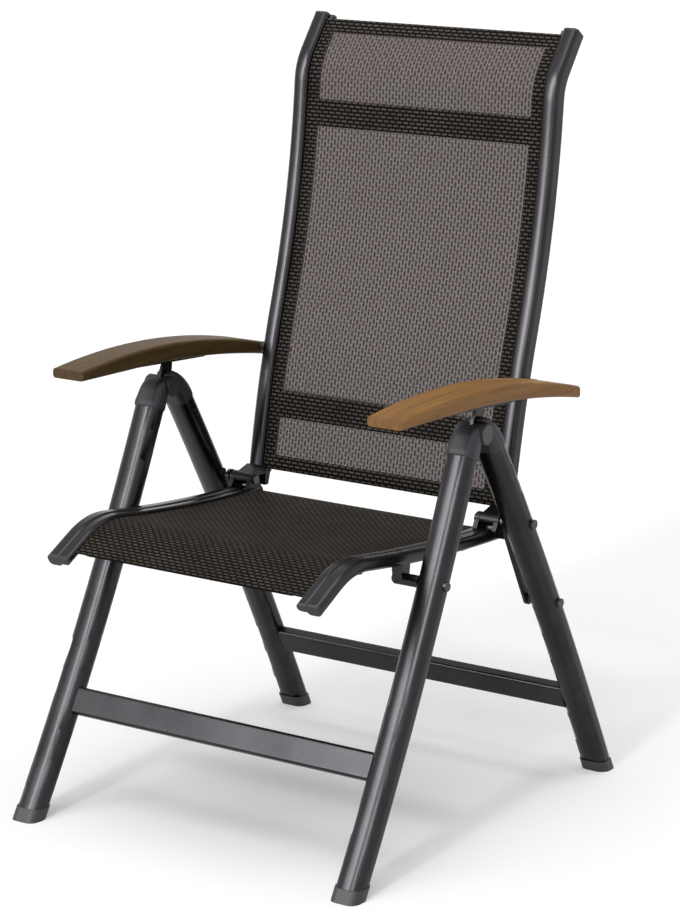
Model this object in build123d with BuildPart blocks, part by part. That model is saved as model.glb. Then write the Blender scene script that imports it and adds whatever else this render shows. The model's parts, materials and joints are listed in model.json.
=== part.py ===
from build123d import *
from math import cos, degrees, hypot, radians, sin
import os

# Directions: +X is the sitter's left, +Y the rear, +Z up, and the floor is z = 0.
# A setback is measured rearwards from the front feet's axis, a height from the floor.
# A point written as a pair is (y, z) in the chair's side view.

# Stance
foot_spacing = 656.0
leg_foot_x = 277.0
leg_splay = 7.0
leg_hinge_setback = 311.0
leg_hinge_height = 578.0

# Leg tubes, bowed a little along their length; their cap lines lie below the hinge
leg_width = 42.0
leg_depth = 30.0
leg_corner = 12.0
leg_wall = 1.8
front_cap_ahead = 29.5
front_cap_drop = 29.0
front_bow = 11.0
rear_cap_behind = 39.8
rear_cap_drop = 25.0
rear_bow = 8.0
socket_depth = 15.0
path_start_share = -0.06
path_middle_share = 0.5

# Foot caps
foot_cap_wall = 1.5
foot_cap_height = 17.0
foot_cap_floor = 3.0

# Crossbars between the legs of a pair
crossbar_width = 40.0
crossbar_depth = 18.0
crossbar_corner = 5.0
crossbar_wall = 1.6
front_crossbar_share = 0.291
rear_crossbar_share = 0.222

# Moulded knuckles on the leg tops, as (along, width, depth, shift) shares
knuckle_skin = 1.0
knuckle_corner_share = 0.4
front_knuckle_shares = (
    (0.0, 1.0, 1.0, 0.0),
    (0.37, 1.0, 1.0, 0.0),
    (0.73, 0.955, 0.94, 0.1),
    (1.05, 0.82, 0.75, 0.32),
    (1.21, 0.55, 0.44, 0.5),
    (1.27, 0.27, 0.2, 0.5),
)
rear_knuckle_shares = (
    (0.0, 1.0, 1.0, 0.0),
    (0.33, 1.0, 1.0, 0.0),
    (0.66, 0.96, 0.95, 0.08),
    (0.98, 0.86, 0.8, 0.2),
    (1.24, 0.62, 0.5, 0.3),
    (1.34, 0.3, 0.22, 0.3),
)
ear_radius = 14.5
ear_room = 2.0
knuckle_pin_radius = 4.0
pin_disc_radius = 13.5
pin_disc_thickness = 1.2

# Post that carries the armrest, and the cross pin in its top
post_thickness = 5.0
post_width = 22.0
post_height = 46.0
post_shoulder_share = 0.62
post_lug_radius = 5.5
rest_pin_radius = 4.0
rest_pin_length = 25.0

# Running fits
bore_play = 0.05
side_gap = 0.3

# Seat rails, with an inner lobe that holds the sling's edge
seat_tip_setback = 4.0
seat_tip_height = 391.5
seat_nose_slope = 28.0
seat_nose_length = 50.0
seat_bend_radius = 115.0
seat_bend_turn = 36.0
seat_sag_radius = 2950.0
seat_sag_turn = 6.5
seat_rail_x = 220.0
seat_rail_width = 24.0
seat_rail_height = 18.0
seat_rail_corner = 7.5
seat_lobe_width = 18.5
seat_lobe_height = 13.0
seat_lobe_corner = 6.0
seat_lobe_rise = 1.5
rail_wall = 1.8
lobe_lap = 4.0

# Back rails
back_foot_setback = 477.0
back_foot_height = 425.0
back_foot_slope = 81.0
lumbar_radius = 1793.0
lumbar_turn = 8.2
shoulder_radius = 1505.0
shoulder_turn = 12.6
head_bend_radius = 80.0
head_bend_turn = 32.0
head_length = 60.0
back_rail_x = 216.5
back_rail_width = 25.0
back_rail_depth = 26.0
back_rail_corner = 6.5
back_lobe_width = 12.0
back_lobe_depth = 11.0
back_lobe_corner = 5.0
back_lobe_setback = 1.0
bead_channel_wall = 1.6

# Slings and the rods that hold their edges in the rails
sling_thickness = 1.6
rod_radius = 2.3
rod_play = 0.3
slot_play = 0.3
seat_sling_rise = 3.0
back_sling_advance = 6.5
sling_front_gap = 15.0
sling_end_gap = 5.0

# Spreader bars under the seat and behind the back
seat_spreader_width = 30.0
seat_spreader_depth = 16.0
seat_spreader_drop = 9.0
seat_spreader_shares = (0.28, 0.86)
back_spreader_width = 39.0
back_spreader_depth = 12.0
back_spreader_corner = 5.0
back_spreader_setback = 3.0
back_spreader_shares = (0.153, 0.785)
spreader_wall = 1.6

# End caps of the rails
end_cap_thickness = 4.0
end_cap_round = 1.8
spigot_depth = 14.0
spigot_play = 0.2

# Front seat pivot: a boss under each seat rail, bolted to the front leg near its axis
front_pivot_offset = -0.57
front_pivot_height = 387.0
pivot_bolt_radius = 4.0
boss_radius = 8.5
bracket_width = 24.0
bracket_inset = 4.0
bolt_head_radius = 7.0
bolt_head_height = 4.0
nut_radius = 6.5
nut_height = 3.0

# Rear pivot, where the seat, the back and the link bars meet
seat_pivot_setback = 440.0
seat_pivot_height = 420.0
fork_ear_radius = 9.5
fork_ear_thickness = 7.0
fork_ear_lap = 3.0
fork_base_reach = 16.0
lug_radius = 9.0
lug_drop = 22.0
lug_tail_share = 0.55
lug_clear_share = 0.15

# Link bars, from the rear pivot to the rear legs
link_low_offset = 2.14
link_low_height = 294.0
link_width = 20.0
link_thickness = 5.0
link_inner_x = 240.0
spacer_radius = 7.0
end_washer_height = 2.5

# Rivets through the rear legs
rivet_radius = 4.0
rivet_boss_radius = 6.5
rivet_head_height = 4.0
stop_rivet_offset = 4.04
stop_rivet_drop = 152.0
stop_rivet_stand = 1.5
cap_rivet_radius = 2.5
cap_rivet_stand = 1.2
cap_rivet_share = 0.965
cap_rivet_pitch = 9.0

# Armrests; a rise is measured from the leg hinge
arm_inner_x = 240.5
arm_width = 55.0
arm_front_setback = 96.0
arm_rear_setback = 552.0
arm_front_rise = 46.0
arm_front_thickness = 14.0
arm_flat_length = 119.0
arm_flat_drop = 2.0
arm_under_setback = 413.0
arm_under_rise = 31.5
arm_rear_rise = 8.5
arm_rear_thickness = 17.0
arm_crown_setback = 300.0
arm_crown_rise = 67.0
arm_round = 4.5
arm_pivot_rise = 31.76
arm_pivot_inset = 6.0

# Armrest pivot
arm_bolt_radius = 4.0
arm_bolt_head_radius = 6.0
arm_bolt_head_height = 3.0
bush_radius = 5.5
flange_radius = 8.0
bush_length = 46.0
plug_radius = 5.0
plug_depth = 5.5

# Notched channel let into the underside of each armrest
recline_range = 35.0
arm_turn_share = 0.41
notch_count = 8
notch_rise = 2.5
notch_fit = 0.3
rib_play = 0.8
rib_thickness = 3.0
rib_inset = 3.5
web_rise = 9.5
channel_wall = 2.0
channel_width = 32.0
channel_drop = 7.5
channel_front_reach = 33.0
channel_rear_reach = 66.0

# One overrun serves every cut
overrun = 5.0


def lean_of(axis, share):
    """Direction of a leg's bowed axis at a share of its way from foot to cap line."""
    foot_y, cap_y, cap_height, bow = axis
    run = cap_y - foot_y
    length = hypot(run, cap_height)
    turn = 4 * bow * (1 - 2 * share) / length
    return Vector(run + turn * cap_height, cap_height - turn * run).normalized()


front_cap_setback = leg_hinge_setback - front_cap_ahead
front_cap_height = leg_hinge_height - front_cap_drop
rear_cap_setback = leg_hinge_setback + rear_cap_behind
rear_cap_height = leg_hinge_height - rear_cap_drop
front_lean = lean_of((0, front_cap_setback, front_cap_height, front_bow), 0)
rear_lean = lean_of((foot_spacing, rear_cap_setback, rear_cap_height, rear_bow), 0)
foot_half_depth = leg_depth / 2 + foot_cap_wall
front_foot_y = (foot_half_depth / front_lean.Y - foot_half_depth / rear_lean.Y - foot_spacing) / 2


def place(setback, height):
    """Point of the side view from its setback and its height."""
    return (front_foot_y + setback, height)


front_axis = (*place(0, front_cap_setback + front_foot_y), front_cap_height, front_bow)
rear_axis = (*place(foot_spacing, rear_cap_setback + front_foot_y), rear_cap_height, rear_bow)
leg_hinge = place(leg_hinge_setback, leg_hinge_height)
seat_pivot = place(seat_pivot_setback, seat_pivot_height)
leg_plane = Plane(
    origin=(leg_foot_x, 0, 0), x_dir=(0, 1, 0), z_dir=(leg_hinge_height, 0, leg_splay)
)


def leg_x(height):
    """Distance of the leg axes from the middle plane at a height."""
    return leg_foot_x - leg_splay * height / leg_hinge_height


def leg_point(axis, share):
    """Point of a leg's bowed axis at a share of its way from foot to cap line."""
    foot_y, cap_y, cap_height, bow = axis
    run = cap_y - foot_y
    length = hypot(run, cap_height)
    sag = 4 * bow * share * (1 - share)
    return (foot_y + share * run + sag * cap_height / length, share * cap_height - sag * run / length)


def on_leg(axis, height, offset):
    """Point at a height, at an offset rearwards from a leg's bowed axis."""
    foot_y, cap_y, cap_height, bow = axis
    run = cap_y - foot_y
    dip = 4 * bow * run / hypot(run, cap_height)
    rise = cap_height - dip
    share = 2 * height / (rise + (rise * rise + 4 * dip * height) ** 0.5)
    return (leg_point(axis, share)[0] + offset, height)


front_pivot = on_leg(front_axis, front_pivot_height, front_pivot_offset)
link_low = on_leg(rear_axis, link_low_height, link_low_offset)
stop_rivet = on_leg(rear_axis, leg_hinge_height - stop_rivet_drop, stop_rivet_offset)


def leg_frame(axis, share):
    """Plane square to a leg, with x across the chair and y towards the rear."""
    lean = lean_of(axis, share)
    return Plane(
        origin=leg_plane.from_local_coords(leg_point(axis, share)),
        x_dir=leg_plane.z_dir,
        z_dir=leg_plane.x_dir * lean.X + leg_plane.y_dir * lean.Y,
    )


def leg_bar(axis, growth=0, wall=0):
    """Bar along a leg, swelled by a growth, or hollow if it has a wall."""
    length = hypot(axis[1] - axis[0], axis[2])
    shares = (path_start_share, path_middle_share, 1 + socket_depth / length)
    with BuildPart() as bar:
        with BuildLine(leg_plane) as path:
            ThreePointArc(*[leg_point(axis, share) for share in shares])
        start = Plane(origin=path.line @ 0, x_dir=leg_plane.z_dir, z_dir=path.line % 0)
        with BuildSketch(start):
            RectangleRounded(leg_width + 2 * growth, leg_depth + 2 * growth, leg_corner + growth)
            if wall:
                RectangleRounded(
                    leg_width - 2 * wall, leg_depth - 2 * wall, leg_corner - wall, mode=Mode.SUBTRACT
                )
        sweep()
    return bar.part


def disc(centre, radius, inner_x, outer_x, mode=Mode.ADD):
    """Add or cut a round bar that lies across the chair."""
    with BuildSketch(Plane.YZ.offset(inner_x), mode=Mode.PRIVATE) as outline:
        with Locations(centre):
            Circle(radius)
    extrude(outline.sketch, amount=outer_x - inner_x, mode=mode)


def plate(points, inner_x, outer_x, mode=Mode.ADD):
    """Add or cut a flat plate whose side view is a polygon."""
    with BuildSketch(Plane.YZ.offset(inner_x), mode=Mode.PRIVATE) as outline:
        Polygon(*points, align=None)
    extrude(outline.sketch, amount=outer_x - inner_x, mode=mode)


def turned(point, centre, angle):
    """Point of the side view turned about a centre, anticlockwise seen from the sitter's left."""
    dy, dz = point[0] - centre[0], point[1] - centre[1]
    c, s = cos(radians(angle)), sin(radians(angle))
    return (centre[0] + c * dy - s * dz, centre[1] + s * dy + c * dz)


def write_piece(piece, name):
    """Label a piece and write it."""
    piece.label = name
    export_step(piece, f"parts/{name}.step")


def write_pair(piece, name):
    """Write a piece of the chair's left side and its mirror twin on the right."""
    write_piece(piece, f"{name}_left")
    write_piece(mirror(piece, about=Plane.YZ), f"{name}_right")


def write_both(piece, name):
    """Write like pieces of both sides as one group of separate solids."""
    write_piece(Compound(children=[piece, mirror(piece, about=Plane.YZ)]), name)


os.makedirs("parts", exist_ok=True)

# Leg cores fill the tubes, and shape whatever fits round a leg or ends on it.
floor_cut = Plane.XY.offset(foot_cap_floor)
front_core = leg_bar(front_axis).split(floor_cut, keep=Keep.TOP)
rear_core = leg_bar(rear_axis).split(floor_cut, keep=Keep.TOP)

# Legs
with BuildPart() as front_leg:
    add(leg_bar(front_axis, wall=leg_wall))
    split(bisect_by=floor_cut, keep=Keep.TOP)
    disc(front_pivot, pivot_bolt_radius, 0, leg_foot_x + leg_width, mode=Mode.SUBTRACT)
write_pair(front_leg.part, "front_leg")

cap_rivets = [
    leg_point(rear_axis, cap_rivet_share - step * cap_rivet_pitch / rear_cap_height)
    for step in (0, 1)
]
with BuildPart() as rear_leg:
    add(leg_bar(rear_axis, wall=leg_wall))
    split(bisect_by=floor_cut, keep=Keep.TOP)
    for rivet in (link_low, stop_rivet):
        disc(rivet, rivet_radius, 0, leg_foot_x + leg_width, mode=Mode.SUBTRACT)
    for rivet in cap_rivets:
        disc(rivet, cap_rivet_radius / 2, 0, leg_x(rear_cap_height), mode=Mode.SUBTRACT)
write_pair(rear_leg.part, "rear_leg")

# Foot caps
for axis, core, name in ((front_axis, front_core, "front"), (rear_axis, rear_core, "rear")):
    with BuildPart() as foot_cap:
        add(leg_bar(axis, growth=foot_cap_wall))
        split(bisect_by=Plane.XY, keep=Keep.TOP)
        split(bisect_by=Plane.XY.offset(foot_cap_height), keep=Keep.BOTTOM)
        add(core, mode=Mode.SUBTRACT)
    write_pair(foot_cap.part, f"{name}_foot_cap")

# Crossbars end on the inner sides of the legs.
for axis, core, share, name in (
    (front_axis, front_core, front_crossbar_share, "front"),
    (rear_axis, rear_core, rear_crossbar_share, "rear"),
):
    seat = leg_frame(axis, share)
    with BuildPart() as crossbar:
        with BuildSketch(Plane(origin=(0, *leg_point(axis, share)), x_dir=seat.z_dir, z_dir=(1, 0, 0))):
            RectangleRounded(crossbar_width, crossbar_depth, crossbar_corner)
            RectangleRounded(
                crossbar_width - 2 * crossbar_wall,
                crossbar_depth - 2 * crossbar_wall,
                crossbar_corner - crossbar_wall,
                mode=Mode.SUBTRACT,
            )
        extrude(amount=leg_x(leg_point(axis, share)[1]), both=True)
        add(core, mode=Mode.SUBTRACT)
        add(mirror(core, about=Plane.YZ), mode=Mode.SUBTRACT)
    write_piece(crossbar.part, f"{name}_crossbar")

# Knuckles: the front ear lies outside the post, and the rear ear inside it.
hinge_x = leg_x(leg_hinge_height)
post_inner_x = hinge_x - post_thickness / 2
post_outer_x = hinge_x + post_thickness / 2
knuckle_inner_x = hinge_x - leg_width / 2
knuckle_outer_x = hinge_x + leg_width / 2 + knuckle_skin


def knuckle_body(axis, shares):
    """Moulded body of a knuckle, from the leg's cap line up and over towards the hinge."""
    base = leg_frame(axis, 1)
    hinge = base.to_local_coords(Vector(hinge_x, *leg_hinge))
    sections = []
    for along, width_share, depth_share, shift in shares:
        width = width_share * (leg_width + 2 * knuckle_skin)
        depth = depth_share * (leg_depth + 2 * knuckle_skin)
        with BuildSketch(base.offset(along * hinge.Z)) as outline:
            with Locations((0, shift * hinge.Y)):
                RectangleRounded(width, depth, knuckle_corner_share * depth)
        sections.append(outline.sketch.faces()[0])
    with BuildPart() as body:
        loft(sections=sections)
    return body.part


with BuildPart() as front_knuckle:
    add(knuckle_body(front_axis, front_knuckle_shares))
    disc(leg_hinge, ear_radius, hinge_x, knuckle_outer_x)
    disc(leg_hinge, ear_radius + ear_room, 0, post_outer_x + side_gap, mode=Mode.SUBTRACT)
    disc(leg_hinge, knuckle_pin_radius, 0, knuckle_outer_x + overrun, mode=Mode.SUBTRACT)
    add(front_core, mode=Mode.SUBTRACT)
write_pair(front_knuckle.part, "front_knuckle")

rear_base = leg_frame(rear_axis, 1)
rear_hinge = rear_base.to_local_coords(Vector(hinge_x, *leg_hinge))
with BuildPart() as rear_knuckle:
    add(knuckle_body(rear_axis, rear_knuckle_shares))
    disc(leg_hinge, ear_radius + ear_room, post_inner_x - side_gap, leg_foot_x + leg_width,
         mode=Mode.SUBTRACT)
    disc(leg_hinge, ear_radius, knuckle_inner_x, post_inner_x - side_gap)
    with BuildSketch(rear_base.offset(rear_hinge.Z - ear_radius - ear_room)):
        with Locations((rear_hinge.X, 0)):
            Rectangle(post_thickness + 2 * side_gap, 4 * leg_depth)
    extrude(amount=2 * leg_depth, mode=Mode.SUBTRACT)
    disc(leg_hinge, knuckle_pin_radius + bore_play, 0, leg_foot_x, mode=Mode.SUBTRACT)
    add(rear_core, mode=Mode.SUBTRACT)
write_pair(rear_knuckle.part, "rear_knuckle")

with BuildPart() as knuckle_pins:
    disc(leg_hinge, knuckle_pin_radius, knuckle_inner_x - side_gap, knuckle_outer_x)
    disc(leg_hinge, pin_disc_radius, knuckle_outer_x, knuckle_outer_x + pin_disc_thickness)
    disc(leg_hinge, pin_disc_radius, knuckle_inner_x - side_gap - pin_disc_thickness,
         knuckle_inner_x - side_gap)
write_both(knuckle_pins.part, "knuckle_pins")

# Armrest post and its cross pin
front_rise = lean_of(front_axis, 1)


def post_point(along, across):
    """Point of the post's side view, up its length and rearwards across it."""
    return (
        leg_hinge[0] + along * front_rise.X + across * front_rise.Y,
        leg_hinge[1] + along * front_rise.Y - across * front_rise.X,
    )


rest_pin = post_point(post_height, 0)
shoulder = post_shoulder_share * post_height
with BuildPart() as arm_post:
    disc(leg_hinge, post_width / 2, post_inner_x, post_outer_x)
    plate(
        (
            post_point(0, -post_width / 2),
            post_point(shoulder, -post_width / 2),
            post_point(post_height, -post_lug_radius),
            post_point(post_height, post_lug_radius),
            post_point(shoulder, post_width / 2),
            post_point(0, post_width / 2),
        ),
        post_inner_x,
        post_outer_x,
    )
    disc(rest_pin, post_lug_radius, post_inner_x, post_outer_x)
    disc(leg_hinge, knuckle_pin_radius, 0, leg_foot_x, mode=Mode.SUBTRACT)
    disc(rest_pin, rest_pin_radius, 0, leg_foot_x, mode=Mode.SUBTRACT)
write_pair(arm_post.part, "arm_post")

with BuildPart() as rest_pins:
    disc(rest_pin, rest_pin_radius, hinge_x - rest_pin_length / 2, hinge_x + rest_pin_length / 2)
write_both(rest_pins.part, "rest_pins")


# Rails
def seat_path(front_gap=0, rear_gap=0):
    """Centreline of a seat rail, less a gap at each end."""
    nose = radians(seat_nose_slope)
    tip = place(seat_tip_setback + front_gap * cos(nose), seat_tip_height + front_gap * sin(nose))
    with BuildLine(Plane.YZ) as path:
        front = PolarLine(tip, seat_nose_length - front_gap, seat_nose_slope)
        bend = JernArc(front @ 1, front % 1, seat_bend_radius, -seat_bend_turn)
        rest = seat_sag_turn - degrees(rear_gap / seat_sag_radius)
        JernArc(bend @ 1, bend % 1, seat_sag_radius, rest)
    return path.wire()


def back_path(foot_gap=0, top_gap=0):
    """Centreline of a back rail, less a gap at each end."""
    with BuildLine(Plane.YZ) as path:
        foot = PolarLine(
            place(back_foot_setback, back_foot_height), back_rail_depth, back_foot_slope, mode=Mode.PRIVATE
        )
        whole = JernArc(foot @ 0, foot % 0, lumbar_radius, -lumbar_turn, mode=Mode.PRIVATE)
        cut_share = foot_gap / whole.length
        lumbar = JernArc(
            whole @ cut_share, whole % cut_share, lumbar_radius, -lumbar_turn * (1 - cut_share)
        )
        shoulders = JernArc(lumbar @ 1, lumbar % 1, shoulder_radius, shoulder_turn)
        neck = JernArc(shoulders @ 1, shoulders % 1, head_bend_radius, -head_bend_turn)
        Line(neck @ 1, neck @ 1 + (neck % 1) * (head_length - top_gap))
    return path.wire()


def across(path, share):
    """Plane square to a rail's path, with x across the chair and y rearwards or down."""
    return Plane(origin=path @ share, x_dir=(1, 0, 0), z_dir=path % share)


seat_bead_x = seat_rail_x - seat_rail_width / 2 + lobe_lap - seat_lobe_width + seat_lobe_corner
seat_lobe_x = seat_rail_x - seat_rail_width / 2 + lobe_lap - seat_lobe_width / 2
seat_lobe_edge = seat_lobe_x - seat_lobe_width / 2
back_side_x = back_rail_x - back_rail_width / 2
back_lobe_x = back_side_x + lobe_lap - back_lobe_width / 2
back_lobe_edge = back_lobe_x - back_lobe_width / 2
bead_channel_radius = rod_radius + rod_play + bead_channel_wall
back_bead_x = back_side_x + bead_channel_radius


seat_lobes = (
    (seat_rail_x, 0, seat_rail_width, seat_rail_height, seat_rail_corner),
    (seat_lobe_x, -seat_lobe_rise, seat_lobe_width, seat_lobe_height, seat_lobe_corner),
)
back_lobes = (
    (back_rail_x, 0, back_rail_width, back_rail_depth, back_rail_corner),
    (back_lobe_x, back_lobe_setback, back_lobe_width, back_lobe_depth, back_lobe_corner),
)


def lobed_section(plane, lobes):
    """Outer shape of a rail's section."""
    with BuildSketch(plane) as outline:
        for x, y, width, depth, corner in lobes:
            with Locations((x, y)):
                RectangleRounded(width, depth, corner)
    return outline.sketch


def seat_hollow(plane, play=0):
    """Hollow inside the outer lobe of a seat rail, or what fits in it with some play."""
    inset = rail_wall + play
    with BuildSketch(plane) as outline:
        with Locations((seat_rail_x, 0)):
            RectangleRounded(
                seat_rail_width - 2 * inset, seat_rail_height - 2 * inset, seat_rail_corner - inset
            )
    return outline.sketch


def back_hollow(plane, play=0):
    """Hollow of a back rail beside its bead channel, or what fits in it with some play."""
    inset = rail_wall + play
    with BuildSketch(plane) as outline:
        with Locations((back_rail_x, 0)):
            RectangleRounded(
                back_rail_width - 2 * inset, back_rail_depth - 2 * inset, back_rail_corner - inset
            )
        with Locations((back_bead_x, -back_sling_advance)):
            Circle(bead_channel_radius + play, mode=Mode.SUBTRACT)
    return outline.sketch


def rail_tube(path, lobes, hollow, bead_x, bead_y, mouth_x):
    """Rail along its path, with its hollow and the keyhole for a sling's edge."""
    start = across(path, 0)
    with BuildPart() as tube:
        sweep(lobed_section(start, lobes), path=path)
        sweep(hollow(start), path=path, mode=Mode.SUBTRACT)
        with BuildSketch(start):
            with Locations((bead_x, bead_y)):
                Circle(rod_radius + rod_play)
            with Locations(((bead_x + mouth_x - overrun) / 2, bead_y)):
                Rectangle(bead_x - mouth_x + overrun, sling_thickness + 2 * slot_play)
        sweep(path=path, mode=Mode.SUBTRACT)
    return tube.part


def rail_cap(plane, lobes, hollow, outwards):
    """Moulded cap on a rail's end, with rounded edges and a spigot in the hollow."""
    with BuildPart() as cap:
        for lobe in lobes:
            with BuildPart(mode=Mode.PRIVATE) as block:
                extrude(lobed_section(plane, (lobe,)), amount=outwards * end_cap_thickness)
                outer_face = block.faces().sort_by(Axis(plane.origin, plane.z_dir * outwards))[-1]
                fillet(outer_face.edges(), radius=end_cap_round)
            add(block.part)
        extrude(hollow(plane, spigot_play), amount=-outwards * spigot_depth)
    return cap.part


seat_rail_path = seat_path()
with BuildPart() as seat_rail_core:
    sweep(lobed_section(across(seat_rail_path, 0), seat_lobes), path=seat_rail_path)

with BuildPart() as seat_rail:
    add(rail_tube(seat_rail_path, seat_lobes, seat_hollow, seat_bead_x, -seat_sling_rise, seat_lobe_edge))
write_pair(seat_rail.part, "seat_rail")

back_rail_path = back_path()
with BuildPart() as back_rail_core:
    sweep(lobed_section(across(back_rail_path, 0), back_lobes), path=back_rail_path)

arm_station = (leg_hinge_height - back_foot_height + arm_pivot_rise) / back_rail_path.length
arm_seat = across(back_rail_path, arm_station)
arm_pivot_point = arm_seat.from_local_coords((0, arm_pivot_inset))
arm_pivot = (arm_pivot_point.Y, arm_pivot_point.Z)
with BuildPart() as back_rail:
    add(rail_tube(back_rail_path, back_lobes, back_hollow, back_bead_x, -back_sling_advance, back_side_x))
    disc(arm_pivot, arm_bolt_radius + bore_play, 0, leg_foot_x, mode=Mode.SUBTRACT)
write_pair(back_rail.part, "back_rail")

# Slings and their rods
seat_sling_path = seat_path(sling_front_gap, sling_end_gap)
with BuildPart() as seat_sling:
    with BuildSketch(across(seat_sling_path, 0)):
        with Locations((0, -seat_sling_rise)):
            Rectangle(2 * (seat_bead_x - rod_radius), sling_thickness)
    sweep(path=seat_sling_path)
write_piece(seat_sling.part, "seat_sling")

with BuildPart() as seat_sling_rods:
    with BuildSketch(across(seat_sling_path, 0)):
        with Locations((seat_bead_x, -seat_sling_rise)):
            Circle(rod_radius)
    sweep(path=seat_sling_path)
write_both(seat_sling_rods.part, "seat_sling_rods")

back_sling_path = back_path(sling_end_gap, sling_end_gap)
with BuildPart() as back_sling:
    with BuildSketch(across(back_sling_path, 0)):
        with Locations((0, -back_sling_advance)):
            Rectangle(2 * (back_bead_x - rod_radius), sling_thickness)
    sweep(path=back_sling_path)
write_piece(back_sling.part, "back_sling")

with BuildPart() as back_sling_rods:
    with BuildSketch(across(back_sling_path, 0)):
        with Locations((back_bead_x, -back_sling_advance)):
            Circle(rod_radius)
    sweep(path=back_sling_path)
write_both(back_sling_rods.part, "back_sling_rods")

# Spreaders end on the rails.
for share, name in zip(seat_spreader_shares, ("front", "rear")):
    station = across(seat_rail_path, share)
    centre = station.from_local_coords((0, seat_spreader_drop))
    with BuildPart() as seat_spreader:
        with BuildSketch(Plane(origin=centre, x_dir=station.z_dir, z_dir=(1, 0, 0))):
            SlotOverall(seat_spreader_width, seat_spreader_depth)
            SlotOverall(
                seat_spreader_width - 2 * spreader_wall,
                seat_spreader_depth - 2 * spreader_wall,
                mode=Mode.SUBTRACT,
            )
        extrude(amount=seat_rail_x - seat_rail_width / 2, both=True)
        add(seat_rail_core.part, mode=Mode.SUBTRACT)
        add(mirror(seat_rail_core.part, about=Plane.YZ), mode=Mode.SUBTRACT)
    write_piece(seat_spreader.part.solids().sort_by(SortBy.VOLUME)[-1], f"seat_{name}_spreader")

for share, name in zip(back_spreader_shares, ("lumbar", "head")):
    station = across(back_rail_path, share)
    centre = station.from_local_coords((0, back_spreader_setback))
    with BuildPart() as back_spreader:
        with BuildSketch(Plane(origin=centre, x_dir=station.z_dir, z_dir=(1, 0, 0))):
            RectangleRounded(back_spreader_width, back_spreader_depth, back_spreader_corner)
            RectangleRounded(
                back_spreader_width - 2 * spreader_wall,
                back_spreader_depth - 2 * spreader_wall,
                back_spreader_corner - spreader_wall,
                mode=Mode.SUBTRACT,
            )
        extrude(amount=back_side_x, both=True)
        add(back_rail_core.part, mode=Mode.SUBTRACT)
        add(mirror(back_rail_core.part, about=Plane.YZ), mode=Mode.SUBTRACT)
    write_piece(back_spreader.part.solids().sort_by(SortBy.VOLUME)[-1], f"{name}_spreader")

# Front caps of the seat rails and top caps of the back rails
with BuildPart() as seat_front_cap:
    add(rail_cap(across(seat_rail_path, 0), seat_lobes, seat_hollow, -1))
write_pair(seat_front_cap.part, "seat_front_cap")

with BuildPart() as back_top_cap:
    add(rail_cap(across(back_rail_path, 1), back_lobes, back_hollow, 1))
write_pair(back_top_cap.part, "back_top_cap")

# Front pivot brackets hang from the seat rails and turn on bolts in the front legs.
bracket_inner_x = seat_rail_x - seat_rail_width / 2 + bracket_inset
bracket_outer_x = seat_rail_x + seat_rail_width / 2 - bracket_inset
boss_end_x = leg_x(front_pivot_height) - leg_width / 2 - side_gap
bracket_front = front_pivot[0] - bracket_width / 2
bracket_rear = front_pivot[0] + bracket_width / 2
bracket_top = front_pivot_height + bracket_width
with BuildPart() as seat_bracket:
    plate(
        (
            (front_pivot[0] - boss_radius, front_pivot_height),
            (front_pivot[0] + boss_radius, front_pivot_height),
            (bracket_rear, bracket_top),
            (bracket_front, bracket_top),
        ),
        bracket_inner_x,
        bracket_outer_x,
    )
    add(seat_rail_core.part, mode=Mode.SUBTRACT)
    disc(front_pivot, boss_radius, bracket_inner_x, boss_end_x)
    disc(front_pivot, pivot_bolt_radius + bore_play, 0, leg_foot_x, mode=Mode.SUBTRACT)
bracket_solid = seat_bracket.part.solids().sort_by(SortBy.VOLUME)[-1]
write_pair(bracket_solid, "seat_bracket")

with BuildPart() as front_bolts:
    bolt_face_x = leg_x(front_pivot_height) + leg_width / 2
    disc(front_pivot, bolt_head_radius, bolt_face_x - bolt_head_height, bolt_face_x + bolt_head_height)
    crown = front_bolts.faces().sort_by(Axis.X)[-1]
    fillet(crown.edges(), radius=bolt_head_height / 2)
    add(front_core, mode=Mode.SUBTRACT)
    disc(front_pivot, nut_radius, bracket_inner_x - side_gap - nut_height, bracket_inner_x - side_gap)
    disc(front_pivot, pivot_bolt_radius, bracket_inner_x - side_gap, bolt_face_x + bolt_head_height / 2)
write_both(front_bolts.part, "front_bolts")

# Seat forks close the rear ends of the seat rails and carry the rear pivot.
seat_end_plane = across(seat_rail_path, 1)
seat_end = seat_end_plane.origin
inner_ear_x = back_side_x - fork_ear_lap - side_gap
outer_ear_x = back_rail_x + back_rail_width / 2 + side_gap
fork_ears = ((inner_ear_x - fork_ear_thickness / 2, inner_ear_x + fork_ear_thickness / 2 + side_gap),
             (outer_ear_x, outer_ear_x + fork_ear_thickness))
fork_rear = seat_end.Y + end_cap_thickness
fork_front = seat_pivot[0] - fork_base_reach
with BuildPart() as seat_fork:
    for ear_inner_x, ear_outer_x in fork_ears:
        disc(seat_pivot, fork_ear_radius, ear_inner_x, ear_outer_x)
        plate(
            (
                (seat_pivot[0] - fork_ear_radius, seat_pivot_height),
                (fork_front, seat_end.Z + seat_rail_height / 2),
                (fork_front, seat_end.Z),
                (seat_end.Y, seat_end.Z - seat_rail_height / 2),
                (fork_rear, seat_end.Z - seat_rail_height / 2),
                (fork_rear, seat_end.Z + seat_rail_height / 2),
                (seat_pivot[0] + fork_ear_radius, seat_pivot_height),
            ),
            ear_inner_x,
            ear_outer_x,
        )
    add(seat_rail_core.part, mode=Mode.SUBTRACT)
    extrude(lobed_section(seat_end_plane, seat_lobes), amount=end_cap_thickness)
    extrude(seat_hollow(seat_end_plane, spigot_play), amount=-spigot_depth)
    disc(seat_pivot, pivot_bolt_radius + bore_play, 0, leg_foot_x, mode=Mode.SUBTRACT)
write_pair(seat_fork.part, "seat_fork")

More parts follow.
